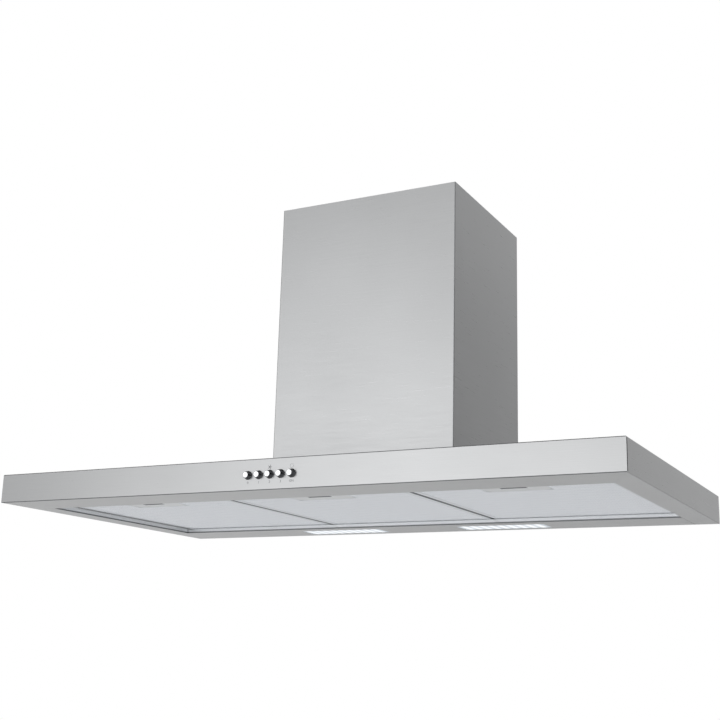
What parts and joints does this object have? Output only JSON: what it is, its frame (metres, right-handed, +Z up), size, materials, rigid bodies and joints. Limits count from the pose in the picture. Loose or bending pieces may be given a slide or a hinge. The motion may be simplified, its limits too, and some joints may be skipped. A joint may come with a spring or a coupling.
{
  "type": "chimney hood",
  "caption": "Wall-mounted chimney cooker hood: slim box canopy with push buttons, lift-out grease filters and lamps, telescopic chimney, inside it a fan in a spiral housing.",
  "frame": {"origin": "on the wall plane, on the centre line, level with the canopy's underside", "axes": "+X to the right of someone facing the hood, +Y into the wall, +Z up"},
  "size_m": [0.898, 0.497, 0.4775],
  "materials": {
    "stainless": "brushed stainless steel",
    "galvanised": "galvanised sheet",
    "steel": "zinc-plated steel",
    "filter_aluminium": "plain aluminium",
    "latch": "grey moulded plastic",
    "chrome": "polished chrome plate",
    "white_plastic": "white moulded plastic",
    "black_plastic": "black moulded plastic",
    "lens": "frosted polycarbonate",
    "board": "white lamp board",
    "motor_steel": "painted motor steel"
  },
  "bodies": {
    "hood": {"box_screws": "steel", "cable_gland": "black_plastic", "canopy_shell": "stainless", "capacitor": "white_plastic", "chimney_screws": "steel", "flap_pin": "steel", "lamp_housing_left": "white_plastic", "lamp_housing_right": "white_plastic", "lamp_lens_left": "lens", "lamp_lens_right": "lens", "lamp_panel": "stainless", "led_board_left": "board", "led_board_right": "board", "led_driver": "white_plastic", "lower_chimney": "stainless", "motor": "motor_steel", "motor_box": "galvanised", "motor_box_back": "galvanised", "motor_box_top": "galvanised", "motor_mount": "galvanised", "motor_screws": "steel", "outlet_spigot": "black_plastic", "scroll_left": "black_plastic", "scroll_right": "black_plastic", "spigot_screws": "steel", "switch_block": "black_plastic", "switch_bracket": "galvanised", "terminal_block": "white_plastic", "terminal_box": "white_plastic", "terminal_lid": "white_plastic", "wall_bracket": "galvanised"},
    "sliding_chimney": {"upper_chimney": "stainless", "chimney_bracket": "galvanised", "bracket_screws": "steel"},
    "fan_wheel": {"impeller": "galvanised", "fan_shaft": "steel"},
    "front_flap": {"flap_front": "black_plastic"},
    "rear_flap": {"flap_rear": "black_plastic"},
    "push_button_1": {"button_1": "chrome"},
    "push_button_2": {"button_2": "chrome"},
    "push_button_3": {"button_3": "chrome"},
    "push_button_4": {"button_4": "chrome"},
    "push_button_5": {"button_5": "chrome"},
    "left_filter": {"filter_frame_left": "filter_aluminium", "filter_tray_left": "filter_aluminium", "filter_mesh_left": "filter_aluminium"},
    "left_latch": {"filter_latch_left": "latch"},
    "centre_filter": {"filter_frame_centre": "filter_aluminium", "filter_tray_centre": "filter_aluminium", "filter_mesh_centre": "filter_aluminium"},
    "centre_latch": {"filter_latch_centre": "latch"},
    "right_filter": {"filter_frame_right": "filter_aluminium", "filter_tray_right": "filter_aluminium", "filter_mesh_right": "filter_aluminium"},
    "right_latch": {"filter_latch_right": "latch"}
  },
  "joints": [
    {"name": "chimney_slide", "type": "slide", "parent": "hood", "child": "sliding_chimney", "axis": [0, 0, 1], "range_m": [0, 0.36]},
    {"name": "fan_spin", "type": "hinge", "parent": "hood", "child": "fan_wheel", "pos_m": [0, -0.10401, 0.14501], "axis": [1, 0, 0], "continuous": true},
    {"name": "front_flap_hinge", "type": "hinge", "parent": "hood", "child": "front_flap", "pos_m": [0, -0.158, 0.322], "axis": [-1, 0, 0], "range_deg": [0, 75]},
    {"name": "rear_flap_hinge", "type": "hinge", "parent": "hood", "child": "rear_flap", "pos_m": [0, -0.158, 0.322], "axis": [1, 0, 0], "range_deg": [0, 75]},
    {"name": "button_1_press", "type": "slide", "parent": "hood", "child": "push_button_1", "axis": [0, 1, 0], "range_m": [0, 0.0035], "stiffness_N_per_m": 200},
    {"name": "button_2_press", "type": "slide", "parent": "hood", "child": "push_button_2", "axis": [0, 1, 0], "range_m": [0, 0.0035], "stiffness_N_per_m": 200},
    {"name": "button_3_press", "type": "slide", "parent": "hood", "child": "push_button_3", "axis": [0, 1, 0], "range_m": [0, 0.0035], "stiffness_N_per_m": 200},
    {"name": "button_4_press", "type": "slide", "parent": "hood", "child": "push_button_4", "axis": [0, 1, 0], "range_m": [0, 0.0035], "stiffness_N_per_m": 200},
    {"name": "button_5_press", "type": "slide", "parent": "hood", "child": "push_button_5", "axis": [0, 1, 0], "range_m": [0, 0.0035], "stiffness_N_per_m": 200},
    {"name": "left_filter_hinge", "type": "hinge", "parent": "hood", "child": "left_filter", "pos_m": [-0.274, -0.0846, 0.0063], "axis": [1, 0, 0], "range_deg": [0, 60]},
    {"name": "left_latch_slide", "type": "slide", "parent": "left_filter", "child": "left_latch", "axis": [0, 1, 0], "range_m": [-0.005, 0]},
    {"name": "centre_filter_hinge", "type": "hinge", "parent": "hood", "child": "centre_filter", "pos_m": [0, -0.0846, 0.0063], "axis": [1, 0, 0], "range_deg": [0, 60]},
    {"name": "centre_latch_slide", "type": "slide", "parent": "centre_filter", "child": "centre_latch", "axis": [0, 1, 0], "range_m": [-0.005, 0]},
    {"name": "right_filter_hinge", "type": "hinge", "parent": "hood", "child": "right_filter", "pos_m": [0.274, -0.0846, 0.0063], "axis": [1, 0, 0], "range_deg": [0, 60]},
    {"name": "right_latch_slide", "type": "slide", "parent": "right_filter", "child": "right_latch", "axis": [0, 1, 0], "range_m": [-0.005, 0]}
  ]
}
